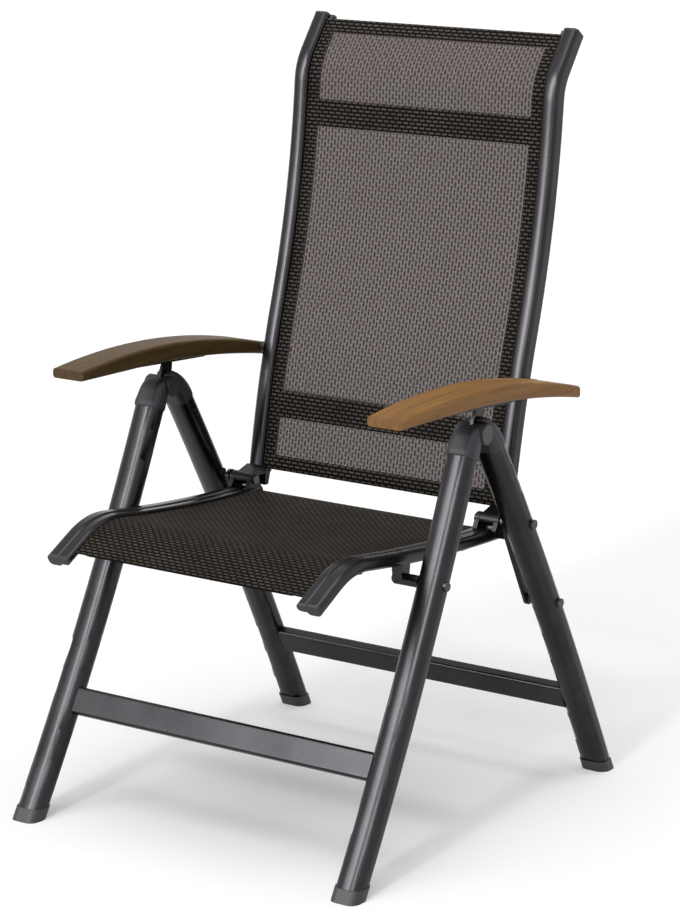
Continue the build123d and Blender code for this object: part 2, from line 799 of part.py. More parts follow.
# Back lugs close the feet of the back rails and turn on the rear pivot.
back_foot_plane = across(back_rail_path, 0)
back_foot = back_foot_plane.origin
lug_inner_x = fork_ears[0][1] + side_gap
lug_outer_x = fork_ears[1][0] - side_gap
foot_front = back_foot_plane.from_local_coords((0, -back_rail_depth / 2))
foot_rear = back_foot_plane.from_local_coords((0, back_rail_depth / 2))
lug_under = seat_pivot_height + lug_clear_share * lug_radius
with BuildPart() as back_lug:
    disc(seat_pivot, lug_radius, lug_inner_x, lug_outer_x)
    plate(
        (
            (seat_pivot[0], lug_under),
            (back_foot.Y, lug_under),
            (back_foot.Y, back_foot_height - lug_drop),
            (back_foot.Y + lug_tail_share * back_rail_depth / 2, back_foot_height - lug_drop),
            (foot_rear.Y, foot_rear.Z),
            (foot_front.Y, foot_front.Z + lug_radius),
            (seat_pivot[0], seat_pivot_height + lug_radius),
        ),
        lug_inner_x,
        lug_outer_x,
    )
    add(back_rail_core.part, mode=Mode.SUBTRACT)
    extrude(back_hollow(back_foot_plane, spigot_play), amount=spigot_depth)
    disc(seat_pivot, pivot_bolt_radius + bore_play, 0, leg_foot_x, mode=Mode.SUBTRACT)
write_pair(back_lug.part, "back_lug")

# Rear pivot bolts, each with a collar that keeps the link bar off the fork
link_outer_x = link_inner_x + link_thickness
with BuildPart() as pivot_bolt:
    disc(seat_pivot, pivot_bolt_radius, fork_ears[0][0] - side_gap, link_outer_x + side_gap)
    disc(seat_pivot, nut_radius, fork_ears[0][0] - side_gap - nut_height, fork_ears[0][0] - side_gap)
    disc(seat_pivot, spacer_radius, fork_ears[1][1] + side_gap, link_inner_x - side_gap)
    disc(seat_pivot, nut_radius, link_outer_x + side_gap, link_outer_x + side_gap + end_washer_height)
write_pair(pivot_bolt.part, "pivot_bolt")

# Link bars
link_run = hypot(link_low[0] - seat_pivot[0], link_low[1] - seat_pivot[1])
link_plane = Plane(
    origin=(link_inner_x, (seat_pivot[0] + link_low[0]) / 2, (seat_pivot[1] + link_low[1]) / 2),
    x_dir=(0, link_low[0] - seat_pivot[0], link_low[1] - seat_pivot[1]),
    z_dir=(1, 0, 0),
)
with BuildPart() as back_link:
    with BuildSketch(link_plane):
        SlotCenterToCenter(link_run, link_width)
    extrude(amount=link_thickness)
    disc(seat_pivot, pivot_bolt_radius + bore_play, 0, leg_foot_x, mode=Mode.SUBTRACT)
    disc(link_low, rivet_radius + bore_play, 0, leg_foot_x, mode=Mode.SUBTRACT)
write_pair(back_link.part, "back_link")

# Rivets in the rear legs
with BuildPart() as rear_rivets:
    for rivet, stand in ((link_low, None), (stop_rivet, stop_rivet_stand)):
        outer_face = leg_x(rivet[1]) + leg_width / 2
        inner_face = leg_x(rivet[1]) - leg_width / 2
        inner_end = link_outer_x + side_gap if stand is None else inner_face - stand
        disc(rivet, bolt_head_radius, outer_face - rivet_head_height, outer_face + rivet_head_height)
        disc(rivet, rivet_boss_radius, inner_end, inner_face + rivet_head_height)
    for rivet in cap_rivets:
        inner_face = leg_x(rivet[1]) - leg_width / 2
        disc(rivet, cap_rivet_radius, inner_face - cap_rivet_stand, inner_face + leg_wall)
    add(rear_core, mode=Mode.SUBTRACT)
    for rivet in (link_low, stop_rivet):
        face = leg_x(rivet[1]) + leg_width / 2
        disc(rivet, rivet_radius, face - leg_width - side_gap, face + rivet_head_height / 2)
    for rivet in cap_rivets:
        inner_face = leg_x(rivet[1]) - leg_width / 2
        disc(rivet, cap_rivet_radius / 2, inner_face - cap_rivet_stand / 2, inner_face + 2 * leg_wall)
write_both(rear_rivets.part, "rear_rivets")

# Armrests
arm_front_y = front_foot_y + arm_front_setback
arm_rear_y = front_foot_y + arm_rear_setback
arm_front_under = leg_hinge_height + arm_front_rise
arm_rear_under = leg_hinge_height + arm_rear_rise
arm_crown = place(arm_crown_setback, leg_hinge_height + arm_crown_rise)
arm_under_middle = place(arm_under_setback, leg_hinge_height + arm_under_rise)
flat_end = (arm_front_y + arm_flat_length, arm_front_under - arm_flat_drop)
arm_outer_x = arm_inner_x + arm_width
bush_end_x = arm_inner_x + bush_length


def pin_track(recline):
    """Place of the rest pin's axis as seen from the armrest, for a recline of the back."""
    hinge = turned(arm_pivot, seat_pivot, -recline)
    shifted = (arm_pivot[0] + rest_pin[0] - hinge[0], arm_pivot[1] + rest_pin[1] - hinge[1])
    return turned(shifted, arm_pivot, arm_turn_share * recline)


last_track = pin_track(recline_range)
track_plane = Plane(
    origin=(hinge_x - channel_width / 2, *rest_pin),
    x_dir=(0, rest_pin[0] - last_track[0], rest_pin[1] - last_track[1]),
    z_dir=(1, 0, 0),
)
track_run = hypot(rest_pin[0] - last_track[0], rest_pin[1] - last_track[1])
channel_length = track_run + channel_front_reach + channel_rear_reach
channel_middle = channel_rear_reach - channel_length / 2
with BuildPart() as armrest:
    with BuildSketch(Plane.YZ.offset(arm_inner_x)):
        with BuildLine():
            Polyline(
                flat_end,
                (arm_front_y, arm_front_under),
                (arm_front_y, arm_front_under + arm_front_thickness),
            )
            ThreePointArc(
                (arm_front_y, arm_front_under + arm_front_thickness),
                arm_crown,
                (arm_rear_y, arm_rear_under + arm_rear_thickness),
            )
            Line(
                (arm_rear_y, arm_rear_under + arm_rear_thickness),
                (arm_rear_y, arm_rear_under),
            )
            ThreePointArc((arm_rear_y, arm_rear_under), arm_under_middle, flat_end)
        make_face()
    extrude(amount=arm_width)
    rounded_edges = armrest.edges().filter_by(lambda edge: edge.length > 2 * arm_round)
    fillet(rounded_edges.filter_by(Axis.X, reverse=True).filter_by(Axis.Z, reverse=True), radius=arm_round)
    with BuildSketch(track_plane):
        with Locations((channel_middle, web_rise + channel_wall)):
            Rectangle(channel_length, leg_width, align=(Align.CENTER, Align.MAX))
    extrude(amount=channel_width, mode=Mode.SUBTRACT)
    disc(arm_pivot, bush_radius + bore_play, 0, bush_end_x + side_gap, mode=Mode.SUBTRACT)
    disc(arm_pivot, plug_radius, arm_outer_x - plug_depth, arm_outer_x + overrun, mode=Mode.SUBTRACT)
write_pair(armrest.part, "armrest")

with BuildPart() as arm_plug:
    disc(arm_pivot, plug_radius, arm_outer_x - plug_depth, arm_outer_x)
write_pair(arm_plug.part, "arm_plug")

# Notched channels: the ribs' lower edges clear the pin, and each notch is one reclining position.
with BuildPart() as notch_rail:
    with BuildSketch(track_plane):
        with Locations((channel_middle, web_rise + channel_wall)):
            Rectangle(channel_length, web_rise + channel_wall + channel_drop, align=(Align.CENTER, Align.MAX))
    extrude(amount=channel_width)
    with BuildSketch(track_plane.offset(channel_wall)):
        with Locations((channel_middle, web_rise)):
            Rectangle(2 * channel_length, leg_width, align=(Align.CENTER, Align.MAX))
    extrude(amount=channel_width - 2 * channel_wall, mode=Mode.SUBTRACT)
    rib_foot = rest_pin_radius + rib_play
    rib_gap = channel_wall + rib_inset
    far_gap = channel_width - rib_gap - rib_thickness
    with BuildSketch(track_plane.offset(rib_gap), track_plane.offset(far_gap)):
        with Locations((channel_middle, web_rise)):
            Rectangle(channel_length, web_rise - rib_foot, align=(Align.CENTER, Align.MAX))
        for notch in range(notch_count):
            track = track_plane.to_local_coords(
                Vector(0, *pin_track(recline_range * notch / (notch_count - 1)))
            )
            with Locations((track.X, track.Y + notch_rise)):
                Circle(rest_pin_radius + notch_fit, mode=Mode.SUBTRACT)
    extrude(amount=rib_thickness)
write_pair(notch_rail.part, "notch_rail")

# Armrest pivots
rail_face_x = back_rail_x + back_rail_width / 2
with BuildPart() as arm_bolt:
    arm_bolt_seat = back_lobe_edge - side_gap
    disc(arm_pivot, arm_bolt_head_radius, arm_bolt_seat - arm_bolt_head_height, arm_bolt_seat)
    disc(arm_pivot, arm_bolt_radius, arm_bolt_seat, bush_end_x)
write_pair(arm_bolt.part, "arm_bolt")

with BuildPart() as arm_bush:
    disc(arm_pivot, flange_radius, rail_face_x + side_gap, arm_inner_x - side_gap)
    disc(arm_pivot, bush_radius, arm_inner_x - side_gap, bush_end_x)
    disc(arm_pivot, arm_bolt_radius + bore_play, 0, leg_foot_x + leg_width, mode=Mode.SUBTRACT)
write_pair(arm_bush.part, "arm_bush")
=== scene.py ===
"""Dress the reclining garden armchair: cloth, hems, stitches, finishes, stage and camera."""

import json
from math import cos, degrees, radians, sin

import bmesh
import bpy
from bpy.props import FloatProperty, FloatVectorProperty, IntProperty, PointerProperty
from mathutils import Matrix, Vector


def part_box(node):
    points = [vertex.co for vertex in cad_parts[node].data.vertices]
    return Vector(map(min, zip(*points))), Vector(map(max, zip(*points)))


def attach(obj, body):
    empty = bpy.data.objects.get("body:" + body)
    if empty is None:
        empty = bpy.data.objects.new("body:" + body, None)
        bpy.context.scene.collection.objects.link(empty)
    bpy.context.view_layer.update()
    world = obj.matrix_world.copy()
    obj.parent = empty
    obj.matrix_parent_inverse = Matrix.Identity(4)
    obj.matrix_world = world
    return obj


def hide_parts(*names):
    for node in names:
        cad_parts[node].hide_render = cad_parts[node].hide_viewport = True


bl_info = {
    "name": "Reclining garden armchair",
    "version": (1, 0, 0),
    "blender": (4, 5, 0),
    "location": "3D View > Sidebar > Armchair",
    "description": "Sling cloth, hems, finishes and stage of a reclining garden armchair",
    "category": "Object",
}

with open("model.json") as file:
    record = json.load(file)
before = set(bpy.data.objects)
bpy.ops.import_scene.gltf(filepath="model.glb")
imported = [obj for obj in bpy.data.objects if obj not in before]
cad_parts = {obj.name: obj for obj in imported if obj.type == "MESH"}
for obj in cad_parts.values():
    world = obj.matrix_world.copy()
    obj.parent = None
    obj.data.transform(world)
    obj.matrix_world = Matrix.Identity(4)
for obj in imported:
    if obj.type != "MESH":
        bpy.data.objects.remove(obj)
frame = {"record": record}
for left_over in ("Cube", "Light", "Camera"):
    if left_over in bpy.data.objects:
        bpy.data.objects.remove(bpy.data.objects[left_over])
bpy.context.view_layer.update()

# Side view of the slings: where each starts (y, z), its heading in degrees, and its runs.
# A run is (length, 0) for a straight one, or (radius, turn in degrees) for an arc.
BACK_START = (0.14947, 0.425)
BACK_HEADING = 81.0
BACK_RUNS = ((1.793, -8.2), (1.505, 12.6), (0.08, -32.0), (0.06, 0.0))
SEAT_START = (-0.32353, 0.3915)
SEAT_HEADING = 28.0
SEAT_RUNS = ((0.05, 0.0), (0.115, -36.0), (2.95, 6.5))

# Near its ends a sling's belly fades out over this length.
BELLY_FADE = 0.06
# A hem lies this many thicknesses behind the cloth.
HEM_LAYER = 1.1
# A row of stitches lies this far outside the hem's inner edge. A row along a side starts this
# far from the cloth's end.
STITCH_INSET = 0.003
STITCH_START = 0.005
# A stitch's middle stands off the cloth's face by the first share of the thread's diameter, and
# the stitch is as high as the second share of it.
STITCH_STAND = 0.1
STITCH_HEIGHT = 0.8
# How closely a height on a rail is found.
CLOSE_ENOUGH = 0.00001

# The gap between the weave's dashes, as a share of their rows.
FLECK_GAP = 0.66
CORD_GAP = 0.64
# How much light the open panel's yarn holds back between its cords.
YARN_COVER = 0.67
# Scale of the dash pattern. Its sizes are given multiplied by it.
DASH_SCALE = 10.0

# Upright tubes: distance of the axis from the middle plane at the floor, the same with its
# height at the top, and half the tube's width, or half the width that is drawn crowned.
LEG_TUBE = (0.277, (0.27, 0.578), 0.021)
BACK_TUBE = (0.2165, (0.2165, 1.1), 0.008)
# Sideways lean of the shading normal at the edges of a crowned face.
CROWN = 0.2
# Power by which an oval tube's shading normal turns outwards. A round tube would have 1.
OVAL_CURVE = 1.6

# Shares of a plug's radius at which its heart ends and its ring is at its darkest.
PLUG_HEART = 0.5
PLUG_RING = 0.85

# Roughness of the powder coat on tubes, legs and hinge plates, and of each moulding.
TUBE_SHEEN = 0.27
LEG_SHEEN = 0.3
HINGE_SHEEN = 0.34
DISC_ROUGH = 0.42
KNUCKLE_ROUGH = 0.5
CAP_ROUGH = 0.48
ROD_ROUGH = 0.4
FOOT_ROUGH = 0.5

# Distant lamps: how far each spreads, and where it shines from.
FRONT_LAMP = (radians(7), (0.3, -3.0, 2.3))
OVERHEAD_LAMP = (radians(50), (0.1, -0.5, 3.0))
# Strip lamps: the share of the strips' power, width and height, and place.
LEFT_STRIP = (5.4, (1.2, 4.6), (-2.35, -4.8, 3.2))
RIGHT_STRIP = (0.4, (0.35, 2.6), (1.35, -3.4, 1.75))
# All the lamps point here.
LAMP_AIM = (0.0, 0.0, 0.5)
# Width of the camera's frame in millimetres, and how many metres it sees.
FRAME_WIDTH = 36.0
VIEW_DEPTH = 200.0


def colour(name, text, value):
    return FloatVectorProperty(
        name=name,
        description=text,
        default=value,
        size=3,
        min=0.0,
        max=1.0,
        subtype="COLOR",
    )


def length(name, text, value):
    return FloatProperty(
        name=name,
        description=text,
        default=value,
        min=0.0,
        unit="LENGTH",
        subtype="DISTANCE",
        precision=5,
    )


class ArmchairCloth(bpy.types.PropertyGroup):
    """Sizes and colours of the two slings."""

    back_half_width: length("Back half width", "Half the visible width of the back sling", 0.2059)
    back_offset: length(
        "Back offset", "How far the back cloth lies in front of the rail's line", 0.0065
    )
    back_trim: length("Back trim", "Rail left bare at each end of the back sling", 0.005)
    seat_half_width: length("Seat half width", "Half the visible width of the seat sling", 0.1972)
    seat_offset: length("Seat offset", "How far the seat cloth lies above the rail's line", 0.003)
    seat_front_trim: length("Seat front trim", "Rail left bare in front of the seat sling", 0.015)
    seat_rear_trim: length("Seat rear trim", "Rail left bare behind the seat sling", 0.005)
    thickness: length("Thickness", "Thickness of the woven cloth", 0.0012)
    back_sag: length("Back sag", "How far the back sling bellies between its rails", 0.0022)
    seat_sag: length("Seat sag", "How far the seat sling dips between its rails", 0.002)
    cell: length("Cell", "Length of one mesh cell along the slings", 0.009)
    hem: length("Hem", "Width of the folded hems", 0.022)
    lobe_lap: length("Lobe lap", "Edge of the back cloth that lies in the rails", 0.011)
    dash_period: length("Dash period", "From one fleck to the next in its row", 0.0114)
    dash_row: length("Dash row", "From one row of flecks to the next", 0.0057)
    stitch: length("Stitch", "Length of one stitch", 0.0042)
    stitch_pitch: length("Stitch pitch", "Distance from stitch to stitch", 0.0058)
    thread: length("Thread", "Diameter of the sewing thread", 0.0009)
    across: IntProperty(
        name="Cells across", description="Mesh cells across a sling", default=44, min=4
    )
    ground: colour("Ground", "Dark yarn of the cloth", (0.006, 0.005, 0.0045))
    fleck: colour("Fleck", "Beige yarn of the back's cloth", (0.19, 0.165, 0.14))
    # The seat's flecks are painted highlights: the glossy yarn's reflections, given as a pale
    # colour.
    seat_fleck_highlight: colour("Seat highlight fleck", "Beige yarn of the seat's cloth", (0.15, 0.12, 0.096))
    open_yarn: colour("Open yarn", "Taupe yarn of the open panel", (0.11, 0.08, 0.072))
    open_cord: colour("Open cord", "Dark cords of the open panel", (0.06, 0.043, 0.039))
    thread_tone: colour("Thread colour", "Sewing thread", (0.02, 0.018, 0.017))


class ArmchairFinish(bpy.types.PropertyGroup):
    """Colours of the frame, the plastics and the wood."""

    coat: colour("Frame coat", "Powder coat of the tubes", (0.036, 0.0345, 0.037))
    hinge: colour("Hinge coat", "Powder coat of the hinge plates", (0.02, 0.019, 0.02))
    knuckle: colour("Knuckles", "Moulded leg knuckles", (0.03, 0.026, 0.034))
    cap: colour("Caps", "Moulded caps of the rails", (0.02, 0.0195, 0.021))
    foot: colour("Feet", "Moulded caps of the feet", (0.042, 0.038, 0.034))
    disc: colour("Hinge discs", "Ends of the leg hinge pins", (0.05, 0.048, 0.05))
    fixing: colour("Fixings", "Dark plated bolts and rivets", (0.07, 0.07, 0.075))
    rod: colour("Sling rods", "Plastic rods in the rails' slots", (0.6, 0.6, 0.57))
    teak_pale: colour("Teak, pale", "Early wood of the armrests", (0.32, 0.16, 0.044))
    teak_dark: colour("Teak, dark", "Late wood of the armrests", (0.16, 0.076, 0.024))
    # The right armrest's colours are the same teak made darker: painted shade, for the side of
    # that armrest that lies in shade.
    shaded_teak_pale: colour("Shaded teak, pale", "Early wood of the right armrest", (0.1, 0.06, 0.016))
    shaded_teak_dark: colour(
        "Shaded teak, dark", "Late wood of the right armrest", (0.052, 0.028, 0.007)
    )
    plug: colour("Plug", "Wooden plug over the arm bolt", (0.1, 0.03, 0.01))


class ArmchairStage(bpy.types.PropertyGroup):
    """Floor, light and camera."""

    floor: colour("Floor", "Pale floor", (0.82, 0.82, 0.82))
    floor_reach: length("Floor reach", "Half the side of the floor", 60.0)
    camera_place: FloatVectorProperty(
        name="Camera place",
        description="Where the photograph was taken from",
        default=(2.53748, -3.59562, 1.55902),
        size=3,
        unit="LENGTH",
        subtype="TRANSLATION",
    )
    camera_turn: FloatProperty(
        name="Camera turn",
        description="Angle round the chair from straight in front",
        default=radians(34.83),
        unit="ROTATION",
        subtype="ANGLE",
    )
    camera_rise: FloatProperty(
        name="Camera rise",
        description="Angle above the level",
        default=radians(13.54),
        unit="ROTATION",
        subtype="ANGLE",
    )
    lens: FloatProperty(
        name="Lens",
        description="Focal length on a 36 mm frame",
        default=124.36,
        unit="CAMERA",
    )
    sky: FloatProperty(
        name="Surrounding light", description="Strength of the even light", default=0.3, min=0.0
    )
    sun: FloatProperty(
        name="Front lamp", description="Strength of the lamp that throws the shadows", default=0.8
    )
    overhead: FloatProperty(
        name="Overhead lamp", description="Strength of the broad lamp overhead", default=1.6
    )
    strip: FloatProperty(
        name="Strip lamps",
        description="Power that the upright strip lamps take their shares of",
        default=60.0,
        unit="POWER",
    )
    glow: FloatProperty(
        name="Floor glow", description="How much the seen floor is lifted to white", default=0.28
    )


# ---- materials


def toned(tone, factor):
    """The same colour, paler or darker."""
    return tuple(part * factor for part in tone)


class Nodes:
    """A node tree, with short ways to add and join its nodes."""

    def __init__(self, tree):
        self.tree = tree
        tree.nodes.clear()

    def add(self, kind, inputs, **settings):
        made = self.tree.nodes.new(kind)
        for key, value in settings.items():
            setattr(made, key, value)
        for key, value in inputs.items():
            self.put(made.inputs[key], value)
        return made

    def put(self, socket, value):
        if isinstance(value, bpy.types.NodeSocket):
            self.tree.links.new(value, socket)
        elif hasattr(value, "__len__") and socket.type == "RGBA":
            socket.default_value = (*value[:3], 1.0)
        else:
            socket.default_value = value

    def maths(self, kind, *parts):
        return self.add("ShaderNodeMath", dict(enumerate(parts)), operation=kind).outputs[0]

    def vector(self, kind, *parts):
        return self.add("ShaderNodeVectorMath", dict(enumerate(parts)), operation=kind).outputs[0]

    def scaled(self, vector, factor):
        inputs = {0: vector, "Scale": factor}
        return self.add("ShaderNodeVectorMath", inputs, operation="SCALE").outputs[0]

    def stretch(self, value, given, wanted=(0.0, 1.0)):
        """Map one range onto another, and hold the value there."""
        inputs = {
            "Value": value,
            "From Min": given[0],
            "From Max": given[1],
            "To Min": wanted[0],
            "To Max": wanted[1],
        }
        return self.add("ShaderNodeMapRange", inputs).outputs["Result"]

    def seen(self):
        """1 for what the camera, a glossy face or clear matter shows, 0 for light on the chair."""
        path = self.add("ShaderNodeLightPath", {}).outputs
        direct = self.maths("MAXIMUM", path["Is Camera Ray"], path["Is Glossy Ray"])
        return self.maths("MAXIMUM", direct, path["Is Transmission Ray"])


class Finish(Nodes):
    """A material, with the coordinates and patterns that it is drawn with."""

    def __init__(self, name):
        self.material = bpy.data.materials.new(name)
        self.material.use_nodes = True
        super().__init__(self.material.node_tree)
        self.shader = self.add("ShaderNodeBsdfPrincipled", {})
        self.add("ShaderNodeOutputMaterial", {"Surface": self.shader.outputs[0]})

    def shade(self, inputs):
        for key, value in inputs.items():
            self.put(self.shader.inputs[key], value)

    def place(self, scale=(1, 1, 1), shift=(0, 0, 0)):
        where = self.add("ShaderNodeTexCoord", {}).outputs["Object"]
        inputs = {"Vector": where, "Scale": scale, "Location": shift}
        return self.add("ShaderNodeMapping", inputs).outputs["Vector"]

    def cloth_place(self, scale=(1, 1, 1), turn=(0, 0, 0)):
        run = self.add("ShaderNodeUVMap", {}, uv_map="weave").outputs["UV"]
        inputs = {"Vector": run, "Scale": scale, "Rotation": turn}
        return self.add("ShaderNodeMapping", inputs).outputs["Vector"]

    def noise(self, vector, detail, roughness=0.55, scale=1.0):
        inputs = {"Vector": vector, "Scale": scale, "Detail": detail, "Roughness": roughness}
        return self.add("ShaderNodeTexNoise", inputs).outputs["Fac"]

    def ramp(self, factor, *stops):
        made = self.add("ShaderNodeValToRGB", {"Fac": factor})
        band = made.color_ramp.elements
        while len(band) < len(stops):
            band.new(0.5)
        for mark, (where, tone) in zip(band, stops):
            mark.position = where
            mark.color = (*tone, 1.0)
        return made.outputs["Color"]

    def mix(self, factor, first, second):
        """Blend two colours. A Mix node's inputs 6 and 7 and its output 2 are its colours."""
        inputs = {"Factor": factor, 6: first, 7: second}
        return self.add("ShaderNodeMix", inputs, data_type="RGBA").outputs[2]

    def bump(self, height, strength, depth, normal=None):
        inputs = {"Height": height, "Strength": strength, "Distance": depth}
        if normal:
            inputs["Normal"] = normal
        return self.add("ShaderNodeBump", inputs).outputs["Normal"]

    def face_normal(self):
        return self.add("ShaderNodeNewGeometry", {}).outputs["Normal"]

    def sideways(self, lean):
        return self.add("ShaderNodeCombineXYZ", {"X": lean}).outputs[0]

    def tube_place(self, foot_x, top):
        """Sideways place of a point, and how far it lies outside an upright tube's axis."""
        top_x, height = top
        where = self.add("ShaderNodeTexCoord", {}).outputs["Object"]
        split = self.add("ShaderNodeSeparateXYZ", {"Vector": where}).outputs
        axis = self.stretch(split["Z"], (0.0, height), (foot_x, top_x))
        side = split["X"]
        return side, self.maths("SUBTRACT", self.maths("ABSOLUTE", side), axis)

    def crowned(self, foot_x, top, half_flat):
        """Normal of an upright tube whose broad faces are crowned a little across their width."""
        side, out = self.tube_place(foot_x, top)
        swell = self.stretch(out, (-half_flat, half_flat), (-CROWN, CROWN))
        lean = self.maths("MULTIPLY", swell, self.maths("SIGN", side))
        leaning = self.vector("ADD", self.face_normal(), self.sideways(lean))
        return self.vector("NORMALIZE", leaning)

    def oval(self, foot_x, top, half_width):
        """Normal of an upright tube drawn as an oval, from how far out a point lies."""
        side, out = self.tube_place(foot_x, top)
        share = self.maths("DIVIDE", self.maths("ABSOLUTE", out), half_width)
        lean = self.maths("POWER", self.maths("MINIMUM", share, 1.0), OVAL_CURVE)
        sign = self.maths("MULTIPLY", self.maths("SIGN", side), self.maths("SIGN", out))
        aside = self.sideways(self.maths("MULTIPLY", lean, sign))
        left = self.maths("SUBTRACT", 1.0, self.maths("MULTIPLY", lean, lean))
        level = self.vector("MULTIPLY", self.face_normal(), (0, 1, 1))
        ahead = self.scaled(self.vector("NORMALIZE", level), self.maths("SQRT", left))
        return self.vector("ADD", aside, ahead)


def powder_coat(name, tone, sheen, section="", tube=()):
    """Satin powder coat with metal flakes: fine orange peel, slight specks, a soft reflection."""
    coat = Finish(name)
    peel = coat.noise(coat.place(), detail=2.0, scale=520.0)
    cloud = coat.noise(coat.place(), detail=4.0, scale=9.0)
    speck = coat.noise(coat.place(), detail=1.0, scale=1500.0)
    shade = coat.ramp(cloud, (0.3, toned(tone, 0.82)), (0.7, toned(tone, 1.2)))
    bright = coat.stretch(speck, (0.62, 0.78), (0.0, 0.3))
    normal = None
    if section == "oval":
        normal = coat.oval(*tube)
    elif section == "crowned":
        normal = coat.crowned(*tube)
    coat.shade(
        {
            "Base Color": coat.mix(bright, shade, toned(tone, 1.9)),
            "Roughness": coat.stretch(cloud, (0.25, 0.75), (sheen - 0.03, sheen + 0.04)),
            "Metallic": 1.0,
            "Normal": coat.bump(peel, strength=0.12, depth=0.0004, normal=normal),
        }
    )
    return coat.material


def moulded_plastic(name, tone, rough):
    """Fine grained moulded plastic, paler where it has rubbed."""
    plastic = Finish(name)
    fine = plastic.noise(plastic.place(), detail=2.0, scale=900.0)
    cloud = plastic.noise(plastic.place(), detail=4.0, scale=22.0)
    plastic.shade(
        {
            "Base Color": plastic.ramp(cloud, (0.3, toned(tone, 0.82)), (0.72, toned(tone, 1.25))),
            "Roughness": plastic.stretch(cloud, (0.2, 0.8), (rough - 0.06, rough + 0.08)),
            "Specular IOR Level": 0.4,
            "Normal": plastic.bump(fine, strength=0.18, depth=0.0003),
        }
    )
    return plastic.material


def plated_steel(name, tone):
    """Dark plated steel with fine turned lines and small stains."""
    steel = Finish(name)
    lines = steel.noise(steel.place((60.0, 900.0, 900.0)), detail=2.0)
    stain = steel.noise(steel.place(), detail=4.0, scale=260.0)
    steel.shade(
        {
            "Base Color": steel.ramp(stain, (0.35, toned(tone, 0.7)), (0.7, toned(tone, 1.3))),
            "Metallic": 1.0,
            "Roughness": steel.stretch(stain, (0.3, 0.7), (0.3, 0.46)),
            "Normal": steel.bump(lines, strength=0.1, depth=0.0002),
        }
    )
    return steel.material


def long_grain_teak(name, pale, dark):
    """Oiled teak: growth bands, fine pores and a slow change of tone along the board."""
    wood = Finish(name)
    wander = wood.noise(wood.place((14.0, 2.2, 14.0)), detail=3.0)
    bent = wood.vector("ADD", wood.place(), wood.scaled(wood.sideways(wander), 0.035))
    board = {"Vector": bent, "Scale": (150.0, 4.5, 90.0)}
    bands = wood.noise(wood.add("ShaderNodeMapping", board).outputs[0], detail=4.0, roughness=0.6)
    fibres = wood.noise(wood.place((1100.0, 26.0, 900.0)), detail=3.0, roughness=0.7)
    pores = wood.noise(wood.place((520.0, 9.0, 420.0)), detail=2.0, roughness=0.8)
    slow = wood.noise(wood.place((9.0, 3.0, 9.0)), detail=2.0)
    between = tuple((a + b) / 2 for a, b in zip(pale, dark))
    tone = wood.ramp(bands, (0.3, dark), (0.5, between), (0.68, pale))
    tone = wood.mix(wood.stretch(fibres, (0.4, 0.75), (0.0, 0.35)), tone, toned(pale, 1.2))
    tone = wood.mix(wood.stretch(pores, (0.6, 0.75), (0.0, 0.6)), tone, toned(dark, 0.5))
    tone = wood.mix(wood.stretch(slow, (0.3, 0.7), (0.0, 0.3)), tone, dark)
    wood.shade(
        {
            "Base Color": tone,
            "Roughness": wood.stretch(fibres, (0.3, 0.7), (0.46, 0.64)),
            "Specular IOR Level": 0.22,
            "Normal": wood.bump(wood.maths("SUBTRACT", fibres, pores), strength=0.2, depth=0.0004),
        }
    )
    return wood.material


def end_grain_plug(name, heart, ring, centre, radius):
    """End grain of a wooden plug: a paler heart inside a dark ring, where the oil soaked in."""
    wood = Finish(name)
    middle = wood.place((0.0, 1.0, 1.0), (0.0, -centre.y, -centre.z))
    away = wood.add("ShaderNodeVectorMath", {0: middle}, operation="LENGTH").outputs["Value"]
    grain = wood.noise(wood.place((900.0, 900.0, 900.0)), detail=4.0, roughness=0.6)
    out = wood.maths("ADD", away, wood.stretch(grain, (0.3, 0.7), (-0.0006, 0.0006)))
    edge = wood.stretch(out, (radius * PLUG_HEART, radius * PLUG_RING))
    wood.shade(
        {
            "Base Color": wood.mix(edge, heart, ring),
            "Roughness": wood.stretch(grain, (0.3, 0.7), (0.45, 0.62)),
            "Specular IOR Level": 0.2,
            "Normal": wood.bump(grain, strength=0.2, depth=0.0004),
        }
    )
    return wood.material


def dashes(cloth, period, row, gap, turned=False):
    """Staggered dashes of the weave in rows; they lie across the cloth, or along it if turned."""
    turn = radians(90) if turned else 0.0
    return cloth.add(
        "ShaderNodeTexBrick",
        {
            "Vector": cloth.cloth_place(turn=(0, 0, turn)),
            "Scale": DASH_SCALE,
            "Mortar Size": gap * DASH_SCALE / 2,
            "Mortar Smooth": 0.35,
            "Bias": 0.0,
            "Brick Width": period * DASH_SCALE,
            "Row Height": row * DASH_SCALE,
            "Color1": (1, 1, 1),
            "Color2": (0.75, 0.75, 0.75),
            "Mortar": (0, 0, 0),
        },
        offset=0.5,
        offset_frequency=2,
        squash=1.0,
    ).outputs


def close_weave(name, ground, fleck, period, row):
    """Close woven cloth: dark ground with pale flecks lying across it in staggered rows. On the
    seat the flecks are painted highlights of the glossy yarn.
    """
    cloth = Finish(name)
    flecks = dashes(cloth, period, row, row * FLECK_GAP)
    worn = cloth.noise(cloth.cloth_place((900.0, 900.0, 1.0)), detail=2.0)
    patch = cloth.noise(cloth.cloth_place((14.0, 14.0, 1.0)), detail=3.0)
    show = cloth.maths("MULTIPLY", flecks["Color"], cloth.stretch(worn, (0.35, 0.6), (0.25, 1.0)))
    show = cloth.maths("MULTIPLY", show, cloth.stretch(patch, (0.3, 0.7), (0.6, 1.0)))
    height = cloth.maths("ADD", show, cloth.maths("MULTIPLY", worn, 0.4))
    cloth.shade(
        {
            "Base Color": cloth.mix(show, ground, fleck),
            "Roughness": 0.66,
            "Specular IOR Level": 0.03,
            "Normal": cloth.bump(height, strength=0.5, depth=0.0006),
        }
    )
    return cloth.material


